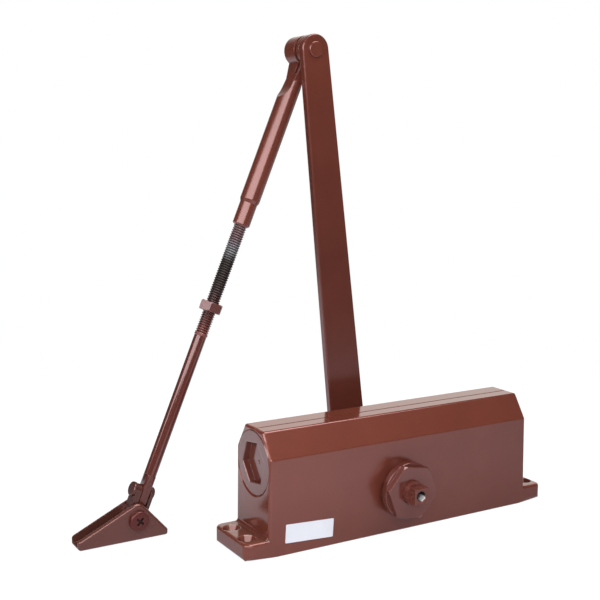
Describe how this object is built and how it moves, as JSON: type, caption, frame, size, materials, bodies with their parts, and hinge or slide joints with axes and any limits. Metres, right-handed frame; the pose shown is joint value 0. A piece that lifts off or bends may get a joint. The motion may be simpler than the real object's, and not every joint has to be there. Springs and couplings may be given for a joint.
{
  "type": "door closer",
  "caption": "Surface-mounted hydraulic door closer: rack-and-pinion body on two drilled lugs, with a regular arm, adjustable threaded forearm and a folded mounting shoe.",
  "frame": {"origin": "centre of the four mounting holes, on the base plane of the body", "axes": "+Z away from the mounting base, +X along the body towards the end with the speed valves, +Y along the spindle towards the side that carries the arm"},
  "size_m": [0.2892, 0.0999, 0.2919],
  "materials": {
    "body_paint": "glossy brown paint",
    "cap_paint": "glossy brown paint",
    "arm_paint": "glossy brown paint",
    "shoe_paint": "glossy brown paint",
    "plate": "plain white, satin",
    "spindle_steel": "turned",
    "rod_steel": "rolled thread",
    "screw_steel": "zinc plated",
    "spring_steel": "oiled wire",
    "piston_iron": "ground",
    "bearing_bronze": "plain bush",
    "valve_brass": "turned",
    "seal_rubber": "moulded",
    "ring_plastic": "machined"
  },
  "bodies": {
    "closer_body": {"housing": "body_paint", "label_plate": "plate", "left_plug": "cap_paint", "right_plug": "cap_paint", "plug_seals": "seal_rubber", "front_cap": "cap_paint", "rear_cap": "cap_paint", "spindle_bearings": "bearing_bronze", "spindle_seals": "seal_rubber", "closing_spring": "spring_steel"},
    "piston_group": {"piston": "piston_iron", "piston_ring": "ring_plastic", "check_valve": "valve_brass"},
    "spindle_group": {"pinion": "spindle_steel", "main_arm": "arm_paint", "arm_washer": "screw_steel", "arm_screw": "screw_steel", "elbow_pin": "arm_paint"},
    "forearm_group": {"forearm_tube": "arm_paint", "elbow_washer": "screw_steel"},
    "rod_group": {"forearm_rod": "rod_steel"},
    "lock_nut_group": {"lock_nut": "rod_steel"},
    "knuckle_group": {"knuckle": "shoe_paint", "knuckle_pin": "rod_steel"},
    "shoe_group": {"shoe": "shoe_paint", "shoe_screw": "screw_steel", "shoe_nut": "screw_steel"},
    "sweep_screw": {"sweep_valve": "screw_steel"},
    "latch_screw": {"latch_valve": "screw_steel"}
  },
  "joints": [
    {"name": "spindle_turn", "type": "hinge", "parent": "closer_body", "child": "spindle_group", "pos_m": [-0.003, 0, 0.026], "axis": [0, -1, 0], "range_deg": [0, 170], "stiffness_Nm_per_rad": 6, "springref_deg": -114.59},
    {"name": "piston_stroke", "type": "slide", "parent": "closer_body", "child": "piston_group", "axis": [-1, 0, 0], "range_m": [0, 0.0298], "deforming": ["closing_spring"]},
    {"name": "elbow_swing", "type": "hinge", "parent": "spindle_group", "child": "forearm_group", "pos_m": [-0.03046, 0.0486, 0.28294], "axis": [0, 1, 0], "range_deg": [-14, 150]},
    {"name": "rod_adjust", "type": "slide", "parent": "forearm_group", "child": "rod_group", "axis": [0.3899, 0, 0.9209], "range_m": [-0.012, 0.025]},
    {"name": "lock_nut_run", "type": "slide", "parent": "rod_group", "child": "lock_nut_group", "axis": [0.3899, 0, 0.9209], "range_m": [-0.012, 0.02]},
    {"name": "knuckle_tilt", "type": "hinge", "parent": "rod_group", "child": "knuckle_group", "pos_m": [-0.13904, 0.0486, 0.02646], "axis": [-0.9209, 0, 0.3899], "range_deg": [-4, 4]},
    {"name": "shoe_swing", "type": "hinge", "parent": "knuckle_group", "child": "shoe_group", "pos_m": [-0.14516, 0.0486, 0.012], "axis": [0, 1, 0], "range_deg": [-60, 100]},
    {"name": "sweep_setting", "type": "hinge", "parent": "closer_body", "child": "sweep_screw", "pos_m": [0.085, -0.009, 0.017], "axis": [1, 0, 0], "range_deg": [-180, 180]},
    {"name": "latch_setting", "type": "hinge", "parent": "closer_body", "child": "latch_screw", "pos_m": [0.085, 0.009, 0.017], "axis": [1, 0, 0], "range_deg": [-180, 180]}
  ],
  "couplings": [
    {"joint": "piston_stroke", "follows": "spindle_turn", "m_per_rad": 0.01}
  ]
}
